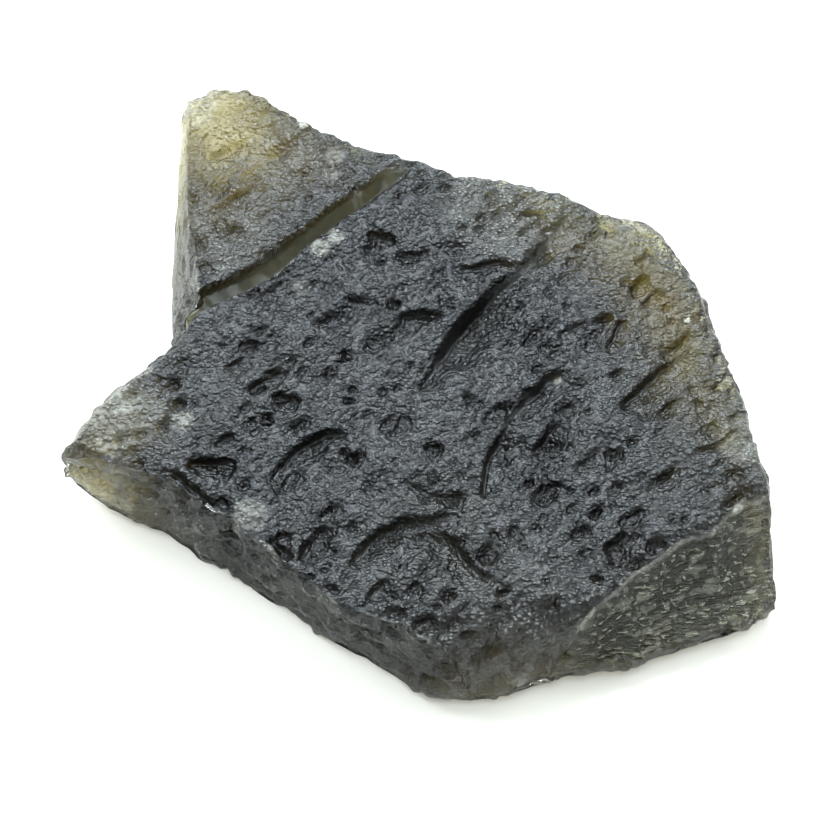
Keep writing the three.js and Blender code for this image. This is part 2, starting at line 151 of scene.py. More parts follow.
# Strokes of the upper face: path with the steep scarp on its left, depths at start, middle and end,
# width of the floor, reach of the far bank, width of the scarp
strokes = [
    (((3.2, 3.4), (4.5, 4.5), (5.8, 6), (6.8, 7.6), (7.6, 8.9)),
     (0.25, 0.42, 0.15), 0, 3.5, 0.5),
    (((0.6, -0.8), (1.2, 0.4), (1.8, 1.4), (2.6, 2.5), (3.7, 3.8), (4.8, 5.1)),
     (0.4, 1.09, 0.34), 0.3, 0.8, 0.45),
    (((-0.1, -1.9), (0.3, -1.3), (0.9, -0.2), (1.4, 0.8)),
     (0.21, 0.42, 0.56), 0, 0.9, 0.2),
    (((2.8, 2.2), (3.4, 3), (4.1, 3.7)),
     (0.14, 0.42, 0.14), 0, 0.9, 0.2),
    (((1.2, 4.9), (1.8, 5.1), (2.4, 5), (3.1, 5.2), (3.8, 5.4), (4.4, 5.2), (4.9, 5.2)),
     (0.14, 0.31, 0.35), 0.03, 0.9, 0.18),
    (((-1.5, 5.4), (-1, 5.8), (-0.4, 5.9), (0.2, 6.1), (0.8, 6.1)),
     (0.14, 0.31, 0.14), 0.03, 0.9, 0.18),
    (((-2.7, 6.7), (-2.3, 7), (-1.7, 6.9), (-1.2, 6.7), (-1, 6.3)),
     (0.21, 0.42, 0.21), 0.09, 0.9, 0.22),
    (((-1.2, 0.3), (-1.1, 1.5), (-0.7, 2.3), (0.1, 2.6), (0.8, 2.4), (1.3, 1.7)),
     (0.17, 0.42, 0.49), 0.09, 1.26, 0.22),
    (((3.1, -7.8), (2.9, -7), (3, -5.8), (3.5, -4.7), (4.3, -3.3)),
     (0.3, 0.5, 0.5), 0.09, 1.6, 0.24),
    (((3.8, -4.2), (4.3, -3.1), (5.1, -2.1), (5.9, -1.2), (6.5, -0.8), (7.1, -0.3)),
     (0.21, 0.7, 0.21), 0.09, 0.9, 0.34),
    (((4, -5), (4.4, -4.7), (4.9, -4.3)),
     (0.14, 0.3, 0.14), 0, 0.9, 0.16),
    (((4.9, -5.5), (5.3, -4.9), (5.7, -4.3), (6.3, -3.7), (6.8, -3.2)),
     (0.17, 0.53, 0.14), 0.06, 0.9, 0.24),
    (((9.2, -3.2), (9.5, -2.5), (10.2, -1.6), (11.1, -0.7), (12.2, 0.2), (13.7, 1.2)),
     (0.35, 0.59, 0.17), 0.15, 1.4, 0.27),
    (((11.2, 0), (11.8, 0.5), (12.4, 1.1), (12.9, 1.7)),
     (0.14, 0.39, 0.14), 0.06, 0.9, 0.2),
    (((9, 0.1), (8.8, 0.6), (9, 1.2), (9.4, 1.9), (10, 2.2)),
     (0.14, 0.39, 0.17), 0.12, 0.9, 0.19),
    (((6.2, 1.1), (6.9, 1.5), (7.4, 1.8), (8, 2)),
     (0.11, 0.3, 0.14), 0, 0.9, 0.16),
    (((8.1, 2), (8.7, 2.3), (9.3, 2.2)),
     (0.21, 0.42, 0.21), 0.12, 0.9, 0.2),
    (((10.1, 3.2), (10.1, 4), (10.5, 4.5), (11, 4.6)),
     (0.17, 0.42, 0.17), 0.21, 0.9, 0.22),
    (((8.2, -10.3), (8.6, -9.8), (9.4, -9.4), (10.3, -9.4)),
     (0.21, 0.56, 0.14), 0.09, 0.9, 0.24),
    (((8.8, -8.8), (9.5, -8.4), (10.4, -7.9)),
     (0.11, 0.3, 0.11), 0.06, 0.9, 0.19),
    (((-10.8, -6), (-10.3, -5.6), (-9.6, -5.4), (-8.8, -5.5), (-8.1, -5.6)),
     (0.28, 0.56, 0.17), 0.09, 0.9, 0.24),
    (((-6.8, -7.4), (-6.6, -6.3), (-5.9, -5.2), (-5, -4.4), (-4.2, -4), (-3.7, -4.2), (-3.5, -4.8)),
     (0.21, 0.53, 0.35), 0.12, 1.26, 0.24),
    (((-6.2, -7), (-5.9, -6.2), (-5.3, -5.7)),
     (0.11, 0.35, 0.11), 0.09, 0.9, 0.18),
    (((-6.8, -2.4), (-6.3, -2.5), (-5.7, -2.2), (-5.4, -2.5)),
     (0.17, 0.35, 0.17), 0.06, 0.9, 0.19),
    (((-3.2, -11.6), (-3, -10.8), (-2.6, -10.1), (-1.8, -9.2), (-0.8, -8.7), (0.2, -8.7), (0.9, -8.4),
      (2.1, -8)),
     (0.25, 0.55, 0.35), 0.06, 1.4, 0.24),
    (((-1.4, -9.2), (-0.3, -9.4), (0.6, -9.4), (1.3, -9.6), (1.8, -10.2), (2.1, -10.8), (2.7, -11.4),
      (3.4, -11.8), (4.3, -12.1)),
     (0.45, 0.63, 0.25), 0.09, 0.98, 0.27),
    (((-0.4, -8.1), (0.2, -7.7), (0.7, -7.4), (1.4, -7.3), (1.9, -7.4), (2.3, -7.7)),
     (0.11, 0.42, 0.28), 0.06, 0.9, 0.2),
    (((-4.7, -8.6), (-4, -8.1), (-3.3, -7.9)),
     (0.11, 0.31, 0.11), 0.03, 0.9, 0.18),
    (((-5.5, -10.9), (-5, -9.8), (-4.3, -9.2)),
     (0.17, 0.49, 0.21), 0.18, 0.98, 0.24),
    (((-1.7, -4.5), (-1.1, -3.8), (-0.6, -3)),
     (0.11, 0.31, 0.11), 0.03, 0.9, 0.18),
    (((-5.2, 1.7), (-4.7, 2), (-3.9, 2.3), (-2.9, 2.2)),
     (0.11, 0.3, 0.14), 0.03, 0.9, 0.18),
    (((-8.1, -2.6), (-7.7, -1.6), (-7, -1), (-6.2, -0.4), (-5.4, 0.1)),
     (0.14, 0.35, 0.11), 0.06, 1.12, 0.19),
    (((-10.7, 7.5), (-9.8, 8.3), (-8.9, 9.1), (-8, 10), (-7, 10.6)),
     (0.07, 0.3, 0.07), 0, 0.9, 0.19),
    (((-10.7, 11.1), (-9.5, 12), (-8, 12.7)),
     (0.06, 0.3, 0.06), 0, 0.9, 0.19),
    (((-9.4, 6.9), (-8.9, 7.4), (-8.6, 7.7)),
     (0.14, 0.35, 0.14), 0.06, 0.9, 0.19),
    (((-2.4, -12.8), (-1.8, -12), (-1, -11.4)),
     (0.07, 0.35, 0.07), 0.06, 0.9, 0.2),
    (((4.7, -7.5), (5.4, -7.1), (6.2, -6.8), (7, -7)),
     (0.07, 0.3, 0.07), 0.06, 0.98, 0.19),
    (((8.6, -1.2), (9.1, -0.8), (9.7, -0.5)),
     (0.07, 0.3, 0.07), 0.03, 0.9, 0.18),
    (((-11.5, -5.9), (-10.9, -6.3), (-10.2, -6.9), (-9.4, -7.6), (-8.8, -8.1)),
     (0.4, 0.55, 0.3), 0.05, 0.35, 0.2),
    (((-6.9, -9.3), (-6.2, -9.9), (-5.5, -10.6)),
     (0.3, 0.5, 0.3), 0.05, 0.35, 0.2),
]

# Finer strokes of a few sizes: depths, floor, bank and scarp as above, then the paths of that size
finerStrokes = [
    (((0.11, 0.3, 0.11), 0.03, 0.9, 0.18), [
        ((10.2, 5.3), (10.7, 5.6), (11.3, 6)),
        ((-3.8, 2.9), (-3.3, 3.2), (-2.6, 3.1), (-1.8, 3.1)),
        ((-11.5, -2.2), (-11, -2.3), (-10.6, -2.6)),
        ((-9.6, -4.8), (-9, -4.4), (-8.2, -4)),
    ]),
    (((0.07, 0.3, 0.07), 0.06, 0.9, 0.19), [
        ((-10.2, 5.4), (-10.6, 6), (-10.5, 6.7), (-9.9, 6.9)),
        ((7, -6.1), (7.8, -5.3), (8.2, -5)),
        ((10.8, -3.4), (11.4, -2.6), (12.2, -2.1)),
        ((-9.2, -0.8), (-8.6, -0.3), (-7.9, 0.1)),
        ((-9.9, -7.9), (-9.3, -7.6), (-8.5, -7.4)),
    ]),
    (((0.07, 0.42, 0.07), 0.06, 0.9, 0.22), [
        ((0.4, -14.8), (1.1, -13.9), (1.9, -13.2)),
        ((2.2, -15.5), (3, -14.4), (3.8, -13.5)),
        ((3.4, -16.1), (4.2, -15), (5.1, -14.1)),
    ]),
    (((0.12, 0.25, 0.1), 0.03, 0.8, 0.13), [
        ((-8.4, 0.3), (-8.1, 0.6), (-7.8, 0.6), (-7.5, 0.2)),
        ((-7.1, -3.3), (-6.9, -3), (-6.5, -3.1)),
        ((-6.3, -3.5), (-5.8, -3.7), (-5.5, -3.5), (-5.1, -3.9)),
        ((-4.7, -1.2), (-4.3, -0.8), (-3.8, -0.8)),
        ((-1.9, -4.2), (-1.7, -3.5), (-1.4, -3.2), (-1, -3.1)),
        ((-0.8, -6.8), (-0.4, -6.7), (0, -7.1), (0.6, -7)),
        ((1.9, -2.5), (2.2, -2.2), (2.7, -2.2)),
        ((6.5, -2.9), (6.9, -2.6), (7.2, -2.9)),
        ((6.6, -5), (6.9, -4.7), (7.3, -4.8)),
        ((9.4, -4.8), (9.7, -4.5), (10.1, -4.8)),
        ((-2.8, 6), (-2.4, 6.3), (-1.8, 6.2)),
        ((-1.4, 2.8), (-1.1, 3.1), (-0.7, 3)),
        ((1.3, 1.6), (1.1, 2.4), (1.1, 3.3), (0.9, 4.1)),
        ((4.6, 8), (5, 8.4), (5.7, 8.4), (6.1, 8)),
        ((5.3, -2.5), (5.9, -2.1), (6.4, -1.7), (7.1, -1.2)),
        ((8.2, 1.4), (8.6, 1.7), (9, 1.5)),
        ((10.4, 2.8), (10.8, 3.1), (11, 3.7), (11.4, 4)),
        ((-4.4, -11.8), (-3.8, -12), (-3.4, -12.4)),
        ((-3, -13.4), (-2.6, -13.3), (-2.2, -13.5)),
        ((-1.5, -13.4), (-1.1, -13.1), (-0.8, -12.9)),
        ((0.9, -11.2), (1.3, -10.9), (1.6, -11.1), (1.9, -11.3), (2.2, -10.9)),
        ((-0.6, -12.1), (-0.2, -11.9), (0.2, -12.2)),
        ((12.3, -5.5), (12.8, -5), (13.5, -4.7), (14.3, -4.1), (15, -3.7)),
        ((13.2, -1.8), (13.6, -1.5), (14, -1.3)),
        ((12.5, -2.5), (12.9, -2.4), (13.2, -2.5)),
        ((11, -3.4), (11.4, -3), (11.9, -3.1)),
        ((-7.9, 3.2), (-7.4, 3.5), (-6.8, 4), (-6.3, 4.5), (-5.7, 5.1)),
        ((-8.3, 0.5), (-7.9, 0.8), (-7.3, 0.7)),
    ]),
    (((0.2, 0.4, 0.18), 0.04, 1, 0.17), [
        ((-7.3, -1.2), (-6.8, -0.9), (-6.3, -0.7), (-5.7, -0.8)),
        ((-7, -2.1), (-6.5, -2.1), (-6, -2.3), (-5.6, -2.1)),
        ((-3.7, -5.4), (-3.4, -5), (-3, -5.3), (-2.7, -5.2), (-2.3, -5.6)),
        ((0, -5.2), (0.4, -4.8), (0.8, -4.8), (1.2, -5.2)),
        ((3.3, -3), (3.7, -2.6), (4, -2.6), (4.3, -3.1)),
        ((8.2, -5.5), (8.6, -5.2), (9, -5), (9.3, -5.3)),
        ((-6.6, -9.6), (-6.2, -9.2), (-5.5, -9.4)),
        ((-4.9, -9.3), (-4.2, -9), (-3.6, -9.3)),
        ((10, -7.1), (10.7, -6.6), (11.3, -6.1), (11.9, -5.5)),
    ]),
    (((0.1, 0.2, 0.08), 0.03, 0.7, 0.12), [
        ((-9, -4.9), (-8.5, -5.1), (-8.1, -4.8), (-7.6, -4.9), (-7.2, -5.2)),
        ((-3.4, -1.9), (-3.2, -1.6), (-2.8, -1.7)),
        ((-2, -1.9), (-1.6, -1.7), (-1.3, -1.9)),
        ((1.2, -5.9), (1.5, -5.7), (1.8, -5.6)),
        ((1.7, -6.3), (2.1, -6.2)),
        ((2.1, -2.8), (2.5, -2.5), (2.8, -2.9)),
        ((-0.7, -0.5), (-0.4, -0.4), (-0.1, -0.5)),
        ((7.4, -3.1), (7.7, -2.9), (7.9, -2.8)),
        ((6.8, -4.2), (7.2, -4.1), (7.5, -4.2)),
        ((8.3, -7.2), (8.7, -7), (9.1, -7.1)),
        ((1.2, 2.9), (1.6, 2.8), (2, 2.8)),
        ((1.3, 6.2), (1.8, 6.3), (2.4, 6.2)),
        ((8.8, 7), (9.2, 7.2), (9.6, 7)),
        ((3, -9.4), (3.3, -9.2), (3.6, -9.3)),
        ((3.9, -9.6), (4.1, -9.1), (4.5, -9)),
        ((12.2, -1.9), (12.5, -1.7), (12.9, -1.6)),
        ((-5.5, 4), (-5, 4.3), (-4.5, 4.2)),
        ((-10.7, 5), (-10.2, 5.2), (-9.5, 4.8)),
    ]),
    (((0.2, 0.36, 0.2), 0.04, 0.8, 0.17), [
        ((6.7, -9.4), (7.2, -9.1), (7.8, -9.1)),
        ((9.9, -9.9), (10.5, -9.6), (11.2, -9.9)),
        ((8.9, -11), (9.6, -10.6), (10.3, -10.4)),
        ((7.5, -11.6), (7.9, -11.4), (8.3, -11.5)),
        ((5.3, -12.9), (5.7, -12.6), (6.1, -12.4)),
        ((-1.6, -9.5), (-1.1, -9.3), (-0.4, -9.3)),
        ((2.5, -14.8), (3, -14.2), (3.5, -13.7)),
        ((3.7, -14.8), (4.2, -14.2), (4.7, -13.9)),
        ((5.9, -14.8), (6.4, -14.3), (6.8, -13.9)),
        ((0.9, -15.2), (1.3, -14.8), (1.8, -14.4)),
        ((-0.2, -14.2), (0.2, -13.8), (0.7, -13.5)),
    ]),
]
strokes += [(path, *profile) for profile, paths in finerStrokes for path in paths]

# The long groove between the lobe and the main part: foot of its cliff and its cross-section
groove = {
    "path": ((-12.4, 1.6), (-11.2, 2.9), (-10.1, 3.8), (-8.7, 4.5), (-7.7, 5.3), (-6.4, 6.5), (-5.4, 7.4),
             (-4.2, 8.5), (-3.4, 9.1), (-2.6, 9.8), (-1.3, 10.9), (-0.7, 11.6)),
    "depths": (0.6, 0.32, 0.14),
    "cliff": 0.16,
    "floor": (0.95, 0.62),  # width at the open end and at the far end
    "floorFall": 0.42,
    "bank": 0.13,
    "fade": 5.0,  # how fast it ends at the far end
    "frostAndPaintedLight": (0.62, 0.13),  # painted glow of light through the thin floor, at the open end and further in
    "frostEdges": (0.2, 0.2),  # span at the floor's edge, and share of the length in which it sinks
    "frostFade": 8.0,
    "cliffFrost": 0.05,
    "cliffEdge": 0.1,
    "skin": 0.3,  # how much of the skin's height it has
}

# Rings with a dome in the middle: x, y, radius
ringMoat = (0.3, 0.75, 0.24)  # depth, and its place and width as shares of the radius
rings = [
    (2.6, -2.7, 0.38),
    (3.8, -3.0, 0.38),
    (8.8, -5.4, 0.42),
    (9.7, -4.6, 0.23),
    (0.5, -4.9, 0.38),
    (4.3, -9.4, 0.38),
    (-3.4, 0.0, 0.33),
    (-1.2, 2.9, 0.28),
    (-6.9, -3.3, 0.33),
    (6.1, -4.7, 0.28),
    (5.6, -6.4, 0.23),
    (6.5, -2.6, 0.28),
    (0.6, -6.6, 0.28),
    (-4.1, -0.8, 0.28),
    (-9.5, 7.5, 0.42),
]

# Round pits: x, y, radius, depth
pits = [
    (-3.3, -2.4, 0.28, 0.45),
    (-6.1, -2.6, 0.23, 0.25),
    (10.1, 4.2, 0.38, 0.3),
    (11.3, 3.6, 0.38, 0.35),
    (11.6, 2.9, 0.33, 0.3),
    (11.8, 2.0, 0.28, 0.2),
    (-5.1, -10.5, 0.33, 0.35),
    (1.3, 1.6, 0.28, 0.3),
    (-10.2, -5.3, 0.23, 0.2),
    (-5.4, -5.6, 0.23, 0.25),
    (-2.3, 6.9, 0.23, 0.2),
]

# The skin, in millimetres: its forms' widths, their heights, and how far the flow of the glass draws them out
skin = {
    "flowAngle": 42.0,
    "flowStretch": 1.6,
    "waves": ((0.62, 0.08), (0.33, 0.05)),  # width and height
    "pits": ((1.25, 0.75, 3.0), (0.62, 0.6, 9.0)),  # width, depth share and seed
    "pitScatter": (0.4, 0.4, 0.2),  # in a cell: reach from its middle, mean radius, how much it varies
    "wallPits": (0.45, 0.3, 0.35),  # width, height and depth share
    "wallStretch": 1.4,  # on the wall along the rim
    "wallSqueeze": 1.3,  # and up it
    "wallHeight": 2.2,  # and how much higher it is there
    "rippleAngle": 22.0,
    "ripples": ((0.32, 0.13), (0.19, 0.06)),
    "rippleStretch": 3.2,
    "flowLines": (0.38, 7.0, 0.09),  # width, stretch and height
    "linesFrom": ((0.3, 0.5), (2.0, 2.0)),  # distance from the groove and -x where they start, and spans
    "underside": 0.5,  # share of its pits' depth there
}

# Where the skin is smooth, worn or chipped, and where painted glints, highlights and sheen go
wear = {
    "grooveDepth": 0.15,  # the skin is gone where the groove is deeper
    "scarps": (0.05, 0.2, 0.8),  # depth where they turn smooth, over what span, and how smooth
    "topTops": (-0.12, 0.14),  # relief above which the upper face is worn and painted with sheen, and over what span
    "wallTops": (-0.15, 0.2),
    "chips": (0.15, 0.35, 0.9, 0.15),  # painted highlight on the crest, frost of chips with painted glints on the rim, span along it, width
    "glints": (0.3, 0.055, 0.025),  # painted glints on the ripples' tops as frost, relief above which, over what span
    "lip": (0.06, 0.75, 0.1),  # frost on the scoop's lip, how far down it starts, over what span
    "overEdge": (1.2, 3.0, 0.7, 0.45),  # reach of the bruises and painted lit spots over the edge, how fast they end, how ragged, span
}

# Bruised or crushed spots that scatter light, mixed with painted light: tiny painted glints, a painted
# reflection along the back-left rim's bevel and a painted glow at the lobe's thin tip: x, y, radius, share
bruisesAndLitSpots = [
    (-7.6, -8.3, 1.05, 0.15),
    (-13.7, -2.6, 0.9, 0.22),
    (-13.6, -3.2, 2.4, 0.09),
    (-14.1, -4.4, 1.0, 0.15),
    (-10.9, -3.4, 0.7, 0.2),
    # painted reflection along the back-left rim's bevel
    (-15.9, -3.9, 0.7, 0.25),
    (-15.0, -3.0, 0.8, 0.22),
    (-14.0, -1.9, 0.8, 0.22),
    (-12.9, -0.7, 0.7, 0.18),
    (-4.7, 6.2, 0.6, 0.2),
    (-4.0, 6.8, 0.5, 0.2),
    (-5.5, 4.0, 0.7, 0.06),
    (-4.1, 11.7, 0.6, 0.1),
    (-4.3, 10.6, 0.5, 0.07),
    # painted glow of light through the lobe's thin tip
    (-11.2, 15.0, 1.9, 0.2),
    # painted glints: tiny bright spots
    (-5.7, 13.5, 0.25, 0.6),
    (-0.4, 11.7, 0.3, 0.6),
    (7.5, 9.2, 0.35, 0.7),
    (6.4, -1.0, 0.2, 0.6),
    (15.0, -4.5, 1.8, 0.09),
    (4.5, 8.6, 4.6, 0.06),
    (1.0, -10.5, 6.5, 0.028),
    (-8.5, -0.5, 5.0, 0.02),
    (9.5, -3.5, 5.0, 0.018),
    (3.2, -14.6, 2.6, 0.04),
    (-9.3, 6.8, 3.2, 0.06),
    (-7.0, 10.4, 3.0, 0.04),
    (10.2, 6.6, 2.2, 0.06),
    # a painted glint
    (12.6, 2.2, 0.15, 0.8),
]

# Patches where the skin is rougher: x, y, radius, how much higher it is
roughPatches = [
    (1.6, -13.2, 4.6, 1.1),
    (-5.8, -9.2, 3.0, 0.5),
    (9.0, -9.3, 2.6, 0.5),
]

# Calm stretches of the rim and wall: x, y, radius, how much flatter they are
calmWalls = [
    (-11.6, 9.0, 9.0, 0.75),
]
calmFrom = ((3.0, 2.0), (9.0, 1.5))  # they start at this y and this -x, each over a span

# Painted sheen: stretches of the wall made paler where they look lit, such as the lobe's bright left face: x,
# y, radius, share
paintedSheenWalls = [
    # painted reflection on the lobe's left face
    (-13.5, 8.0, 9.0, 0.05),
    (-15.5, -5.5, 3.2, 0.12),
    (-11.5, -7.5, 3.5, 0.05),
    (-4.0, -12.5, 6.5, 0.035),
]


def linearColour(hexColour):  # v / 12.92 below 0.04045, else ((v + 0.055) / 1.055) ^ 2.4
    values = [int(hexColour[i:i + 2], 16) / 255 for i in (1, 3, 5)]
    return tuple(v / 12.92 if v <= 0.04045 else ((v + 0.055) / 1.055) ** 2.4 for v in values) + (1.0,)


def clamp01(values):  # kept between 0 and 1
    return np.clip(values, 0.0, 1.0)


def ease(values):  # 3 s^2 - 2 s^3 between 0 and 1
    s = clamp01(values)
    return s * s * (3 - 2 * s)


def mix(first, second, share):  # a + (b - a) s
    return first + (second - first) * share


def shareAbove(values, limits):  # ease((value - start) / span)
    return ease((values - limits[0]) / limits[1])


def scatter(column, row):  # fixed values from -1 to 1: the fraction of 43758.5453 sin(127.1 i + 311.7 j)
    wave = np.sin(column * 127.1 + row * 311.7) * 43758.5453
    return 2 * (wave - np.floor(wave)) - 1


# The scatter on whole numbers, eased in between. A bare number added to x or y, or to a cell of the
# scatter, only picks another stretch of the same field.
def waviness(x, y):
    column = np.floor(x)
    row = np.floor(y)
    right = ease(x - column)
    up = ease(y - row)
    low = mix(scatter(column, row), scatter(column + 1, row), right)
    high = mix(scatter(column, row + 1), scatter(column + 1, row + 1), right)
    return mix(low, high, up)


# Pits strewn one to a unit cell: depth (1 - r^2 / R^2)^2 with scattered middle, radius and depth,
# and the deepest of the nine cells round a point counts
def scatteredPits(x, y, seed):
    column = np.floor(x)
    row = np.floor(y)
    reach, meanRadius, change = skin["pitScatter"]
    deepest = np.zeros(np.shape(x))
    for stepX in (-1, 0, 1):
        for stepY in (-1, 0, 1):
            i = column + stepX
            j = row + stepY
            middleX = i + 0.5 + reach * scatter(i + seed, j + 17)
            middleY = j + 0.5 + reach * scatter(i + 41, j + seed)
            radius = meanRadius + change * scatter(i + 5, j + seed + 3)
            depth = np.maximum(0, scatter(i + seed, j + 71)) * radius
            share = ((x - middleX) ** 2 + (y - middleY) ** 2) / radius ** 2
            deepest = np.maximum(deepest, depth * np.maximum(0, 1 - share) ** 2)
    return deepest


def strongestSpot(spots, x, y):  # the greatest share * ease((1 - r / R) / 0.5)
    return np.max([share * ease((1 - np.hypot(x - spotX, y - spotY) / radius) / 0.5)
                   for spotX, spotY, radius, share in spots], axis=0)


def calmness(x, y):  # 1 on rough rim, less on its calm stretches, none of which reach over the groove
    return 1 - strongestSpot(calmWalls, x, y) * shareAbove(y, calmFrom[0]) * shareAbove(-x, calmFrom[1])


rimTable = np.array([(*edge, *foot, rounding, scoop) for edge, foot, rounding, scoop in rimStations])
rimTable = np.vstack([rimTable, rimTable[:1]])
rimRun = np.concatenate([[0], np.cumsum(np.hypot(*np.diff(rimTable[:, :2], axis=0).T))])


# Rim at a share of its length: straight between stations, pushed in and out by coarse and fine chips of
# depth * waviness(run / span), less where the rim is calm
def rimAt(turn):
    run = (turn - np.floor(turn)) * rimRun[-1]
    columns = [np.interp(run, rimRun, rimTable[:, k]) for k in range(8)]
    reachOut = np.hypot(columns[0], columns[1])
    (coarseDepth, coarseSpan), (fineDepth, fineSpan) = stone["rimChips"]
    coarse = coarseDepth * waviness(run / coarseSpan, np.full(run.shape, 3.5))
    fine = fineDepth * waviness(run / fineSpan, np.full(run.shape, 8.5))
    grow = 1 + (coarse + fine) * calmness(columns[0], columns[1]) / reachOut
    edge = (columns[0] * grow, columns[1] * grow, columns[2])
    foot = (columns[3] * grow, columns[4] * grow, columns[5])
    return run, edge, foot, columns[6], columns[7]


# Distance from a path, the side of it (left is below 0) and the share of its stretches passed
def besidePath(path, x, y):
    stretches = len(path) - 1
    nearest = np.full(x.shape, np.inf)
    side = np.ones(x.shape)
    along = np.zeros(x.shape)
    for index in range(stretches):
        startX, startY = path[index]
        spanX = path[index + 1][0] - startX
        spanY = path[index + 1][1] - startY
        part = clamp01(((x - startX) * spanX + (y - startY) * spanY) / (spanX ** 2 + spanY ** 2))
        awayX = x - startX - part * spanX
        awayY = y - startY - part * spanY
        distance = np.hypot(awayX, awayY)
        closer = distance < nearest
        nearest = np.where(closer, distance, nearest)
        side = np.where(closer, np.sign(awayX * spanY - awayY * spanX), side)
        along = np.where(closer, (index + part) / stretches, along)
    return nearest, side, along


# Depth d(s) * across * fade: across is 1 on the floor, eases up over the scarp to the left of the
# path and over the bank to the right, and fade closes both ends. Also gives the scarp's part of it.
def strokeDepth(stroke, x, y):
    path, depths, floor, reach, scarpWidth = stroke
    distance, side, along = besidePath(path, x, y)
    scarp = ease(1 - distance / scarpWidth)
    bank = ease(1 - (distance - floor) / max(reach, 2 * max(depths)))
    fade = ease(strokeShape["fade"] * np.minimum(along, 1 - along))
    depth = np.interp(along, (0, 0.5, 1), depths) * fade
    overlap = ease(1 - distance / strokeShape["scarpOverlap"])
    return depth * np.where(side < 0, scarp, bank), depth * np.where(side < 0, scarp, overlap)


# Depth d(s) * across + the fall of the floor away from the cliff, closed by a short bank
def grooveDepth(x, y):
    distance, side, along = besidePath(groove["path"], x, y)
    cliff = ease(1 - distance / groove["cliff"])
    floor = mix(*groove["floor"], along)
    bank = ease(1 - (distance - floor) / groove["bank"])
    fall = groove["floorFall"] * clamp01(distance / floor)
    fade = ease(groove["fade"] * (1 - along))
    depth = np.interp(along, (0, 0.5, 1), groove["depths"])
    return np.where(side < 0, depth * cliff, (depth + fall) * bank) * fade


# Frost of the groove's cliff, and painted glow of its floor, which fades inwards from the open end
def grooveFrostAndGlow(x, y):
    distance, side, along = besidePath(groove["path"], x, y)
    floor = mix(*groove["floor"], along)
    edgeSpan, openEnd = groove["frostEdges"]
    # painted glow on the floor, paler towards the open end
    onFloor = ease((floor - distance) / edgeSpan) * mix(*groove["frostAndPaintedLight"], ease(along / openEnd))
    cliffEdge = groove["cliffEdge"]
    onCliff = groove["cliffFrost"] * ease((groove["cliff"] + cliffEdge - distance) / cliffEdge)
    return np.where(side < 0, onCliff, onFloor) * ease(groove["frostFade"] * (1 - along))


def ringDepth(ring, x, y):  # round moat: depth * exp(-((r / R - place) / width)^2)
    share = np.hypot(x - ring[0], y - ring[1]) / ring[2]
    depth, place, width = ringMoat
    return depth * np.exp(-((share - place) / width) ** 2)


def pitDepth(pit, x, y):  # depth (1 - r^2 / R^2)^2
    share = np.hypot(x - pit[0], y - pit[1]) / pit[2]
    return pit[3] * np.maximum(0, 1 - share ** 2) ** 2


# Etched skin: waves of two sizes less strewn pits of two sizes, drawn out along the flow
def skinHeight(along, across):
    height = sum(high * waviness(along / wide + 5, across / wide) for wide, high in skin["waves"])
    for wide, deep, seed in skin["pits"]:
        height -= deep * scatteredPits(along / wide, across / wide + 20, seed)
    return height


def flowSkin(x, y):  # the skin along the flow, which runs at flowAngle to the x axis
    flow = math.radians(skin["flowAngle"])
    along = (x * math.cos(flow) + y * math.sin(flow)) / skin["flowStretch"]
    return skinHeight(along, -x * math.sin(flow) + y * math.cos(flow))


# Fine lines of flow on the lobe alone: height * (|waviness| - 0.5), very long along the flow, which
# start a little beside the groove and fade out towards its far end
def lobeLines(x, y):
    wide, stretch, high = skin["flowLines"]
    flow = math.radians(skin["flowAngle"])
    along = (x * math.cos(flow) + y * math.sin(flow)) / (wide * stretch)
    across = (-x * math.sin(flow) + y * math.cos(flow)) / wide
    distance, side = besidePath(groove["path"], x, y)[:2]
    besideGroove, leftSide = skin["linesFrom"]
    onLobe = np.where(side < 0, shareAbove(distance, besideGroove), 0) * shareAbove(-x, leftSide)
    return onLobe * high * (np.abs(waviness(along + 30, across)) - 0.5)


def rippleHeight(x, y):  # sum of high * (0.5 - |waviness|), long along rippleAngle
    turn = math.radians(skin["rippleAngle"])
    along = (x * math.cos(turn) + y * math.sin(turn)) / skin["rippleStretch"]
    across = -x * math.sin(turn) + y * math.cos(turn)
    return sum(high * (0.5 - np.abs(waviness(along / wide + 90, across / wide)))
               for wide, high in skin["ripples"])


# Root of the sum of squares of strokes, rings and pits, whose paths are made wobbly.
# Also gives the deepest scarp.
def scarDepth(x, y):
    reach, span = strokeShape["wobble"]
    wobbleX = x + reach * waviness(x / span + 60, y / span)
    wobbleY = y + reach * waviness(x / span, y / span + 60)
    depths = np.array([strokeDepth(stroke, wobbleX, wobbleY) for stroke in strokes])
    squares = np.sum(depths[:, 0] ** 2, axis=0)
    squares += sum(ringDepth(ring, wobbleX, wobbleY) ** 2 for ring in rings)
    squares += sum(pitDepth(pit, wobbleX, wobbleY) ** 2 for pit in pits)
    return np.sqrt(squares), np.max(depths[:, 1], axis=0)
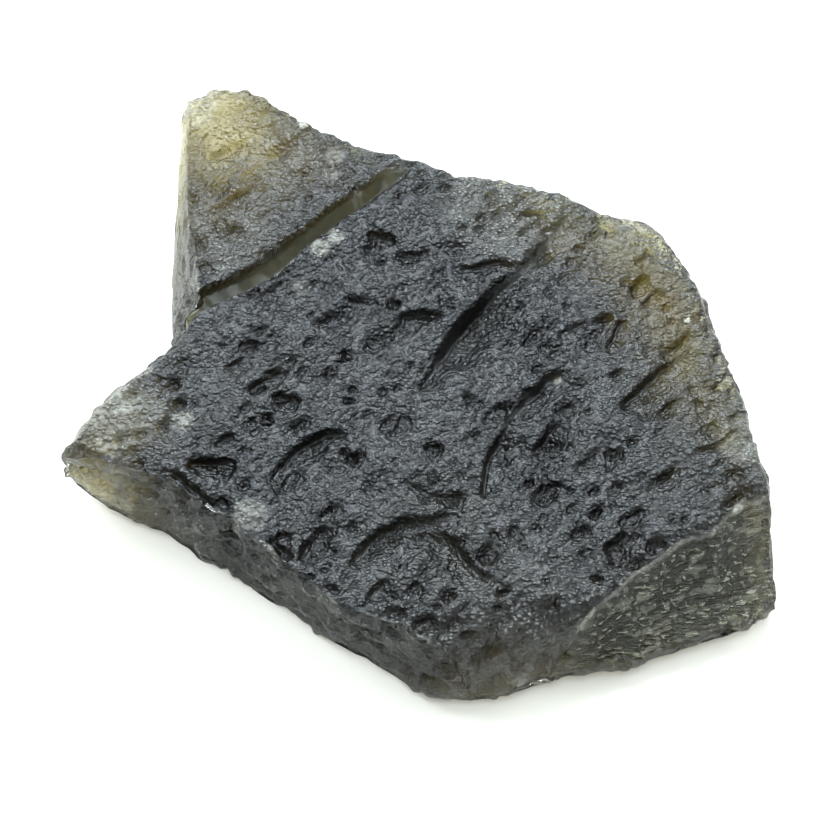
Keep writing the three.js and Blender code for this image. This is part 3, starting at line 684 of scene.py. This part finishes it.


# Upper face: out * rim edge, at plateau + swell + lumps, which rounds off to the rim along a quarter
# of an ellipse and turns up in a thin crest along the scooped corner, less the scars and the groove.
# Also gives the skin's height over it, then the shares of frost and painted light, worn skin with
# painted sheen, skin, fresh break and thick glass.
def upperFace(out, turn):
    run, edge, foot, rounding, scoop = rimAt(turn)
    x = out * edge[0]
    y = out * edge[1]
    swellHeight, swellSpan = stone["swells"]
    lumpHeight, lumpSpan = stone["lumps"]
    height = stone["plateau"] + swellHeight * waviness(x / swellSpan + 4, y / swellSpan)
    height += lumpHeight * waviness(x / lumpSpan, y / lumpSpan + 9)
    inward = (1 - out) * np.hypot(edge[0], edge[1])
    left = clamp01(1 - inward / rounding)
    roundOff = 1 - np.sqrt(1 - left ** 2)
    crestHeight, crestWidth = stone["crest"]
    height = mix(height, edge[2], roundOff) + crestHeight * scoop * ease(1 - inward / crestWidth)
    channel = grooveDepth(x, y)
    scars, scarps = (depth * ease(inward / stone["scarMargin"]) for depth in scarDepth(x, y))
    height -= channel + scars

    # the skin's pattern moves out where the face is low, so steep banks don't smear it
    drop = (stone["plateau"] - height + channel) / np.maximum(np.hypot(x, y), 1)
    inGroove = ease(channel / wear["grooveDepth"])
    scarpDepth, scarpSpan, scarpPolish = wear["scarps"]
    rough = (1 - inGroove) * (1 - scarpPolish * ease((scarps - scarpDepth) / scarpSpan))
    relief = flowSkin(x * (1 + drop), y * (1 + drop)) + lobeLines(x, y)
    relief *= rough + groove["skin"] * inGroove
    relief *= 1 + strongestSpot(roughPatches, x, y)
    # worn grain tops, which the glass also paints with sheen
    wornSheen = rough * (1 - ease(scarps / scarpSpan)) * shareAbove(relief, wear["topTops"])
    # painted highlight along the scooped corner's crest, and chips with painted glints along the rim
    crestHighlight, rimChips, chipSpan, chipWidth = wear["chips"]
    ragged = np.maximum(0, waviness(run / chipSpan, np.full(run.shape, 12.0)))
    chips = (crestHighlight * scoop + rimChips * ragged) * ease(1 - inward / chipWidth)
    # frost and painted light: bruises and painted lit spots, the crest's and rim's marks, the groove's
    # painted glow
    frostAndPaintedLight = np.max([strongestSpot(bruisesAndLitSpots, x, y), chips, grooveFrostAndGlow(x, y)], axis=0)
    thick = thickShare(height - underHeight(x, y, out, foot[2]))
    return np.stack([x, y, height], axis=-1), relief, frostAndPaintedLight, wornSheen, rough, 0 * x, thick


# Underside's height: flat rest in the middle, hollows and dimples round it, lifting to the foot as
# ((out - curlStart) / (1 - curlStart))^curlPower
def underHeight(x, y, out, footHeight):
    start = stone["curlStart"]
    lift = footHeight * clamp01((out - start) / (1 - start)) ** stone["curlPower"]
    beyondRest = ease((np.hypot(x, y) - stone["restRadius"]) / stone["restFade"])
    beyondRest *= ease((1 - out) / stone["hollowMargin"])
    dimpleDepth, dimpleSpan = stone["dimples"]
    dimple = dimpleDepth * np.maximum(0, waviness(x / dimpleSpan, y / dimpleSpan + 30))
    hollow = sum(high * np.maximum(0, 1 - ((x - hx) ** 2 + (y - hy) ** 2) / wide ** 2) ** 2
                 for hx, hy, wide, high in hollows)
    return lift + (dimple + hollow) * beyondRest


def thickShare(thickness):  # ease((thickness - thinGlass) / thickSpan)
    return ease((thickness - stone["thinGlass"]) / stone["thickSpan"])


# Underside: out * rim foot, at underHeight, with the skin's pits alone
def underFace(out, turn):
    run, edge, foot, rounding, scoop = rimAt(turn)
    x = out * foot[0]
    y = out * foot[1]
    height = underHeight(x, y, out, foot[2])
    thick = thickShare(mix(stone["plateau"], edge[2], out) - height)
    relief = skin["underside"] * np.minimum(0, flowSkin(x, y))
    return np.stack([x, y, height], axis=-1), relief, 0 * x, 0 * x, 1 + 0 * x, 0 * x, thick


# Wall between edge and foot: bulging by sin(pi t), or hollow as (1 - t)^scoopPower over an upright lip,
# with skin on the plain walls and long ripples on the hollow one
def wallFace(down, turn):
    run, edge, foot, rounding, scoop = rimAt(turn)
    slopeShare = stone["scoopShare"]
    outward = np.hypot(foot[0], foot[1])
    calm = calmness(edge[0], edge[1])
    lumpHeight, lumpSpan, lumpCount = stone["wallLumps"]
    lumps = lumpHeight * calm * waviness(run / lumpSpan, down * lumpCount + 50)
    stand = (stone["wallBulge"] * (1 - scoop) + lumps) * np.sin(np.pi * down)
    across = mix(down, clamp01(down / slopeShare), scoop)
    x = mix(edge[0], foot[0], across) + stand * foot[0] / outward
    y = mix(edge[1], foot[1], across) + stand * foot[1] / outward
    straight = mix(edge[2], foot[2], down)
    lipTop = foot[2] + stone["lipHeight"]
    slope = mix(lipTop, edge[2], (1 - clamp01(down / slopeShare)) ** stone["scoopPower"])
    lip = mix(lipTop, foot[2], (down - slopeShare) / (1 - slopeShare))
    hollow = np.where(down < slopeShare, slope, lip)
    height = mix(straight, hollow, scoop)

    pitWidth, pitHeight, pitDeep = skin["wallPits"]
    pitted = skin["wallHeight"] * skinHeight(run / skin["wallStretch"], skin["wallSqueeze"] * height + 70)
    pitted -= pitDeep * scatteredPits(run / pitWidth, height / pitHeight + 50, 21)
    onSlope = scoop * ease((slopeShare - down) / stone["rippleEnd"])
    ripples = rippleHeight(x, y + height)
    relief = mix(pitted * calm, ripples, onSlope)
    # painted glints on the ripples' tops
    glints = wear["glints"][0] * onSlope * shareAbove(ripples, wear["glints"][1:])
    lipFrost = wear["lip"][0] * scoop * shareAbove(down, wear["lip"][1:])
    reach, steep, raggedness, span = wear["overEdge"]
    ragged = raggedness * waviness(run / span, steep * down + 20)
    # bruises and painted lit spots reach over the edge
    overEdge = strongestSpot(bruisesAndLitSpots, x, y) * ease(reach - steep * down + ragged)
    # painted sheen on stretches of the wall joins the wall's other frost and painted light
    frostAndPaintedLight = np.max([glints, lipFrost, overEdge, strongestSpot(paintedSheenWalls, x, y)], axis=0)
    # worn tops of the wall's pits and grain, which the glass also paints with sheen
    wornSheen = (1 - onSlope) * shareAbove(pitted, wear["wallTops"])
    inside = 0.85  # the glass is as thick as this far out on the underside
    below = underHeight(inside * foot[0], inside * foot[1], inside, foot[2])
    thick = thickShare(mix(edge[2], height, scoop) - below)
    return np.stack([x, y, height], axis=-1), relief, frostAndPaintedLight, wornSheen, 1 - onSlope, onSlope, thick


# Square grid to disc, ring by ring: out = max(|a|, |b|), angle = 45 degrees * b / a in each quarter
def discPlace(cells):
    steps = np.linspace(-1, 1, cells + 1)
    across, up = np.meshgrid(steps, steps)
    out = np.maximum(np.abs(across), np.abs(up))
    flat = np.abs(across) > np.abs(up)
    safeAcross = np.where(across == 0, 1, across)
    safeUp = np.where(up == 0, 1, up)
    angle = np.where(flat, np.pi / 4 * up / safeAcross, np.pi / 2 - np.pi / 4 * across / safeUp)
    opposite = np.where(flat, across < 0, up < 0)
    return out.ravel(), ((angle + np.pi * opposite) / (2 * np.pi)).ravel()


def cellCorners(cells):  # the grid's squares, anticlockwise from above
    index = np.arange((cells + 1) ** 2).reshape(cells + 1, cells + 1)
    return np.stack([index[:-1, :-1], index[:-1, 1:], index[1:, 1:], index[1:, :-1]], axis=-1).reshape(-1, 4)


def borderOf(cells):  # the grid's outer points, anticlockwise from its lower right corner
    index = np.arange((cells + 1) ** 2).reshape(cells + 1, cells + 1)
    return np.concatenate([index[:-1, -1], index[-1, :0:-1], index[:0:-1, 0], index[0, :-1]])


shareNames = ("frostAndPaintedLight", "wornSheen", "skin", "fresh", "thick")  # what each point tells the glass


# Upper face, underside and wall on their grids; the wall's last row meets a quarter as many points.
# The skin then moves each point along its normal.
def stoneMesh():
    topCells = stone["topCells"]
    underCells = topCells // 4
    columns = 4 * topCells
    rows = stone["wallRows"]

    upper = upperFace(*discPlace(topCells))
    under = underFace(*discPlace(underCells))
    downSteps = (np.arange(1, rows) / rows) ** stone["rowCrowding"]
    turn, down = np.meshgrid(np.arange(columns) / columns - 1 / 8, downSteps)  # from the grid's corner
    wall = wallFace(down.ravel(), turn.ravel())
    points, relief, *shares = (np.concatenate(parts) for parts in zip(upper, under, wall))
    firstUnder = len(upper[0])
    firstWall = firstUnder + len(under[0])

    underRim = borderOf(underCells) + firstUnder
    wallIndex = np.arange(len(wall[0])).reshape(rows - 1, columns) + firstWall
    wallRings = np.vstack([borderOf(topCells), wallIndex])
    beside = np.roll(wallRings, -1, axis=1)
    wallQuads = np.stack([wallRings[:-1], wallRings[1:], beside[1:], beside[:-1]], axis=-1).reshape(-1, 4)
    quads = np.vstack([cellCorners(topCells), cellCorners(underCells)[:, ::-1] + firstUnder, wallQuads])

    last = wallRings[-1]
    first, second, third, fourth = (last[k::4] for k in range(4))
    following = np.roll(first, -1)
    lowNext = np.roll(underRim, -1)
    seam = np.vstack([np.stack(corners, axis=-1) for corners in (
        (first, underRim, second), (second, underRim, third), (third, underRim, lowNext),
        (third, lowNext, fourth), (fourth, lowNext, following))])

    points[:, :2] -= stone["boxMiddle"]
    mesh = bpy.data.meshes.new("moldavite_stone")
    mesh.from_pydata(points * mm, [], quads.tolist() + seam.tolist())
    mesh.update()
    normals = np.empty(points.shape, dtype=np.float32)
    mesh.vertex_normals.foreach_get("vector", normals.ravel())
    points += normals * relief[:, None]
    lowCorner, highCorner = (np.array(corner) / mm for corner in cadBox)
    points = np.clip(points, lowCorner, highCorner)  # nothing past the solid's box
    mesh.vertices.foreach_set("co", (points * mm).astype(np.float32).ravel())
    for name, values in zip(shareNames, shares):
        layer = mesh.attributes.new(name, "FLOAT", "POINT")
        layer.data.foreach_set("value", values.astype(np.float32))
    mesh.polygons.foreach_set("use_smooth", np.ones(len(mesh.polygons), dtype=bool))
    mesh.update()
    print("stone mesh:", len(points), "points,", 2 * len(quads) + len(seam), "triangles")
    return mesh


# Adds a node and gives one of its outputs. The inputs are values or other nodes' outputs, in the order
# of the sockets or by the sockets' names, and the settings are the node's own.
def addNode(tree, kind, inputs=(), output=0, **settings):
    node = tree.nodes.new(kind)
    for name, value in settings.items():
        setattr(node, name, value)
    for name, value in inputs.items() if isinstance(inputs, dict) else enumerate(inputs):
        if isinstance(value, bpy.types.NodeSocket):
            tree.links.new(value, node.inputs[name])
        else:
            node.inputs[name].default_value = value
    return node.outputs[output] if node.outputs else node


# The glass, with widths and heights in millimetres
glass = {
    "roughness": (0.3, 0.2),  # of the skin and of the fresh break
    "ior": 1.49,
    "absorption": (0.54, 0.62, 1.0),  # 1 mm lets exp(-0.54) of red through, and so on
    "grainWidth": 0.24,
    "grainHeight": 0.17,
    "domeWidth": 0.21,
    "domeHeight": 0.08,
    "grainStretch": (0.75, 1, 1),  # the grain is longer along the flow
    "streakWidth": 0.16,
    "streakHeight": 0.3,
    "streakStretch": (0.24, 1, 1.4),  # and the streaks much longer along the slope
    "noise": {"Detail": 2.0, "Roughness": 0.5},
    "domeEdge": 0.6,  # where a dome ends, as a share of the dome's width
    "thinColour": "#E6E4D6",
    "pitColour": "#1C1F20",
    # worn grain tops, partly painted sheen
    "grainSheenColour": "#5E6262",
    "hollowColour": "#58593C",
    # pale painted glints on the streaks of the fresh break
    "streakGlintColour": "#BBBAA2",
    "hollowFrost": 0.1,
    "grooveColour": "#787440",
    "grainSheenFrost": (0.12, 0.42),  # on the worn grain tops, partly painted sheen, where the glass is thin and where it is thick
    # share of the painted glints on the streaks' tops
    "streakGlintFrost": 0.4,
    "grainRise": (0.1, 0.155),  # relief of the old skin where its worn, partly painted-sheen tops start and are full
    "streakRise": (0.59, 0.66),  # the same for the painted glints on the streaks, as a share of their height
    "breakUp": (0.35, 0.6, 0.5, 1.2),  # grain from and to, and the frost's share in low and in high grain
    "paleFrost": 0.1,  # frost at which the colour is quite pale
}


# Natural glass, etched by the soil: half glossy outside, olive and dark where it is thick, finely
# pitted on its old faces with painted sheen on the worn grain tops, streaky where it broke with painted
# glints on the streaks, and pale where it is bruised and in spots of painted light
def etchedGlass():
    material = bpy.data.materials.new("etched natural glass")
    material.use_nodes = True
    tree = material.node_tree
    tree.nodes.clear()
    eased = {"interpolation_type": "SMOOTHSTEP"}
    blend = {"output": 2, "data_type": "RGBA"}
    times = {"operation": "MULTIPLY"}
    timesPlus = {"operation": "MULTIPLY_ADD"}
    place = addNode(tree, "ShaderNodeTexCoord", output="Object")
    frostAndPaintedLight, wornSheen, skinShare, fresh, thick = (
        addNode(tree, "ShaderNodeAttribute", output="Fac", attribute_name=name) for name in shareNames)

    # old skin: grain and small domes, turned along the flow, in millimetres
    flow = addNode(tree, "ShaderNodeMapping", {
        "Vector": place,
        "Rotation": (0, 0, math.radians(-skin["flowAngle"])),
        "Scale": glass["grainStretch"]})
    grain = addNode(tree, "ShaderNodeTexNoise", {
        "Vector": flow, "Scale": 1 / (glass["grainWidth"] * mm), **glass["noise"]})
    cells = addNode(tree, "ShaderNodeTexVoronoi", {"Vector": flow, "Scale": 1 / (glass["domeWidth"] * mm)})
    domeRange = (0.0, glass["domeEdge"], glass["domeHeight"], 0.0)
    dome = addNode(tree, "ShaderNodeMapRange", (cells, *domeRange), **eased)
    skinRelief = addNode(tree, "ShaderNodeMath", (grain, glass["grainHeight"], dome), **timesPlus)

    # fresh surface: streaks that lie level along the slopes
    level = addNode(tree, "ShaderNodeMapping", {
        "Vector": place,
        "Rotation": (0, 0, math.radians(-skin["rippleAngle"])),
        "Scale": glass["streakStretch"]})
    streak = addNode(tree, "ShaderNodeTexNoise", {
        "Vector": level, "Scale": 1 / (glass["streakWidth"] * mm), **glass["noise"]})
    streakRelief = addNode(tree, "ShaderNodeMath", (streak, glass["streakHeight"]), **times)
    skinPart = addNode(tree, "ShaderNodeMath", (skinRelief, skinShare), **times)
    relief = addNode(tree, "ShaderNodeMath", (streakRelief, fresh, skinPart), **timesPlus)
    bump = addNode(tree, "ShaderNodeBump", {"Strength": 1.0, "Distance": mm, "Height": relief})

    # frost and painted light: worn tops of the grain with painted sheen, painted glints on the tops of the
    # streaks, and the bruises with painted lit spots, broken up by the grain
    grainLight = addNode(tree, "ShaderNodeMapRange", (skinRelief, *glass["grainRise"], 0.0, 1.0), **eased)
    sheenedGrainTops = addNode(tree, "ShaderNodeMath", (grainLight, wornSheen), **times)
    topSheenShare = addNode(tree, "ShaderNodeMapRange", (thick, 0.0, 1.0, *glass["grainSheenFrost"]), **eased)
    topSheenFrost = addNode(tree, "ShaderNodeMath", (sheenedGrainTops, topSheenShare), **times)
    streakLight = addNode(tree, "ShaderNodeMapRange", (streak, *glass["streakRise"], 0.0, 1.0), **eased)
    streakGlints = addNode(tree, "ShaderNodeMath", (streakLight, fresh), **times)
    plain = addNode(tree, "ShaderNodeMath", (fresh, glass["hollowFrost"], topSheenFrost), **timesPlus)
    tops = addNode(tree, "ShaderNodeMath", (streakGlints, glass["streakGlintFrost"], plain), **timesPlus)
    broken = addNode(tree, "ShaderNodeMapRange", (grain, *glass["breakUp"]), **eased)
    bruisedAndLit = addNode(tree, "ShaderNodeMath", (frostAndPaintedLight, broken), **times)
    frostedAndLit = addNode(tree, "ShaderNodeMath", (bruisedAndLit, tops), operation="MAXIMUM")
    clear = addNode(tree, "ShaderNodeMath", (1.0, frostedAndLit), operation="SUBTRACT")

    # colour: pale in thin glass, bruises and painted lit spots, dark with greyish worn grain tops in thick
    # glass, which are partly painted sheen, olive where it broke, with pale painted glints on its streaks
    names = ("pitColour", "grainSheenColour", "thinColour", "hollowColour", "streakGlintColour", "grooveColour")
    pit, grainSheenTop, thin, hollow, streakGlintTop, grooveFloor = (linearColour(glass[name]) for name in names)
    pale = addNode(tree, "ShaderNodeMapRange", (frostAndPaintedLight, 0.0, glass["paleFrost"], 0.0, 1.0), **eased)
    deep = addNode(tree, "ShaderNodeMix", {0: sheenedGrainTops, 6: pit, 7: grainSheenTop}, **blend)
    body = addNode(tree, "ShaderNodeMix", {0: thick, 6: thin, 7: deep}, **blend)
    skinColour = addNode(tree, "ShaderNodeMix", {0: pale, 6: body, 7: thin}, **blend)
    lit = addNode(tree, "ShaderNodeMath", (streakGlints, pale), operation="MAXIMUM")
    slope = addNode(tree, "ShaderNodeMix", {0: lit, 6: hollow, 7: streakGlintTop}, **blend)
    smooth = addNode(tree, "ShaderNodeMix", {0: fresh, 6: grooveFloor, 7: slope}, **blend)
    colour = addNode(tree, "ShaderNodeMix", {0: skinShare, 6: smooth, 7: skinColour}, **blend)
    polish = addNode(tree, "ShaderNodeMapRange", (fresh, 0.0, 1.0, *glass["roughness"]), **eased)

    surface = addNode(tree, "ShaderNodeBsdfPrincipled", {
        "Base Color": colour, "Roughness": polish, "IOR": glass["ior"],
        "Transmission Weight": clear, "Normal": bump})
    passed = [1 - part for part in glass["absorption"]]
    volume = addNode(tree, "ShaderNodeVolumeAbsorption", {"Color": (*passed, 1), "Density": 1 / mm})
    addNode(tree, "ShaderNodeOutputMaterial", {"Surface": surface, "Volume": volume})
    print("glass ready")
    return material


# The stone takes the place of its solid
def addStone():
    piece = bpy.data.objects.new("moldavite_stone", stoneMesh())
    bpy.context.collection.objects.link(piece)
    piece.data.materials.append(etchedGlass())
    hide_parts("moldavite")
    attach(piece, "root")
    print("stone added")


# The studio: a white table in a pale room, with soft boxes behind, beside and above the stone
studio = {
    "floorRadius": 900.0,
    "floorColour": "#FFFBF1",
    "floorRoughness": 0.9,
    "floorGlowColour": "#FFF7E2",
    "floorGlow": 0.14,  # a little light comes up through the white table
    "roomColour": "#F2FCFF",
    "darkSide": (0, -0.53, 0.848),  # the viewer's side of the room is darker
    "edges": (0.38, 0.95),  # where the room starts to darken and where it is darkest
    "levels": (1.25, 0.18),  # its brightness there
    "boxColour": "#EAF6FF",
    "boxDistance": 620.0,
    "boxes": [
        # azimuth from the far side, elevation, side in millimetres, brightness
        (3, 49, 310, 13.2),
        (-14, 24, 240, 6.0),
        (-62, 42, 240, 10.0),
        (66, 42, 240, 4.5),
        (176, 74, 260, 6.5),
    ],
}


# A matt white board, even and without gloss, which glows a little
def addFloor():
    bpy.ops.mesh.primitive_plane_add(size=2 * studio["floorRadius"] * mm)
    floor = bpy.context.object
    floor.name = "table_top"
    material = bpy.data.materials.new("matt white table")
    material.use_nodes = True
    shader = material.node_tree.nodes["Principled BSDF"]
    shader.inputs["Base Color"].default_value = linearColour(studio["floorColour"])
    shader.inputs["Roughness"].default_value = studio["floorRoughness"]
    shader.inputs["Emission Color"].default_value = linearColour(studio["floorGlowColour"])
    shader.inputs["Emission Strength"].default_value = studio["floorGlow"]
    floor.data.materials.append(material)


# The room's brightness eases from brightest to darkest towards the viewer's side and ends at the horizon
def addRoom():
    world = bpy.data.worlds.new("pale room")
    bpy.context.scene.world = world
    world.use_nodes = True
    tree = world.node_tree
    direction = addNode(tree, "ShaderNodeTexCoord", output="Generated")
    toDark = addNode(
        tree, "ShaderNodeVectorMath", (direction, studio["darkSide"]), "Value", operation="DOT_PRODUCT")
    level = addNode(tree, "ShaderNodeMapRange", (toDark, *studio["edges"], *studio["levels"]),
                    interpolation_type="SMOOTHSTEP")
    rise = addNode(tree, "ShaderNodeSeparateXYZ", (direction,), "Z")
    aboveTable = addNode(tree, "ShaderNodeMath", (rise, 0.0), operation="GREATER_THAN")
    strength = addNode(tree, "ShaderNodeMath", (level, aboveTable), operation="MULTIPLY")
    background = tree.nodes["Background"]
    background.inputs["Color"].default_value = linearColour(studio["roomColour"])
    tree.links.new(strength, background.inputs["Strength"])


# Square soft boxes that face the stone, each with a power of brightness * pi * side^2
def addBoxes():
    for azimuth, elevation, side, brightness in studio["boxes"]:
        light = bpy.data.lights.new("soft box", "AREA")
        light.shape = "SQUARE"
        light.size = side * mm
        light.energy = brightness * math.pi * (side * mm) ** 2
        light.color = linearColour(studio["boxColour"])[:3]
        box = bpy.data.objects.new("soft box", light)
        turn = math.radians(azimuth)
        rise = math.radians(elevation)
        reach = studio["boxDistance"] * mm
        across = reach * math.cos(rise)
        box.location = (across * math.sin(turn), across * math.cos(turn), reach * math.sin(rise))
        box.rotation_euler = (rise - math.pi / 2, 0, -turn)
        bpy.context.collection.objects.link(box)


# The camera: where it looks, how high it stands in degrees and how wide a strip it sees at the target
cameraSetup = {
    "target": (-0.19, -1.82, 2.5),
    "elevation": 58.0,
    "distance": 130.0,
    "viewWidth": 38.8,
    "sensorWidth": 36.0,
    "clipping": (0.005, 10.0),  # nearest and farthest that it sees, in metres
}


# The lens makes the view as wide at the target as viewWidth: sensor width * distance / view width
def addCamera():
    camera = bpy.data.cameras.new("camera")
    camera.sensor_width = cameraSetup["sensorWidth"]
    camera.lens = cameraSetup["sensorWidth"] * cameraSetup["distance"] / cameraSetup["viewWidth"]
    camera.clip_start, camera.clip_end = cameraSetup["clipping"]
    eye = bpy.data.objects.new("camera", camera)
    rise = math.radians(cameraSetup["elevation"])
    reach = cameraSetup["distance"]
    x, y, z = cameraSetup["target"]
    eye.location = (x * mm, (y - reach * math.cos(rise)) * mm, (z + reach * math.sin(rise)) * mm)
    eye.rotation_euler = (math.radians(90 - cameraSetup["elevation"]), 0, 0)
    bpy.context.collection.objects.link(eye)
    bpy.context.scene.camera = eye


bpy.context.scene.view_settings.view_transform = "Standard"
addCamera()
addRoom()
addBoxes()
addFloor()
print("studio ready")
addStone()
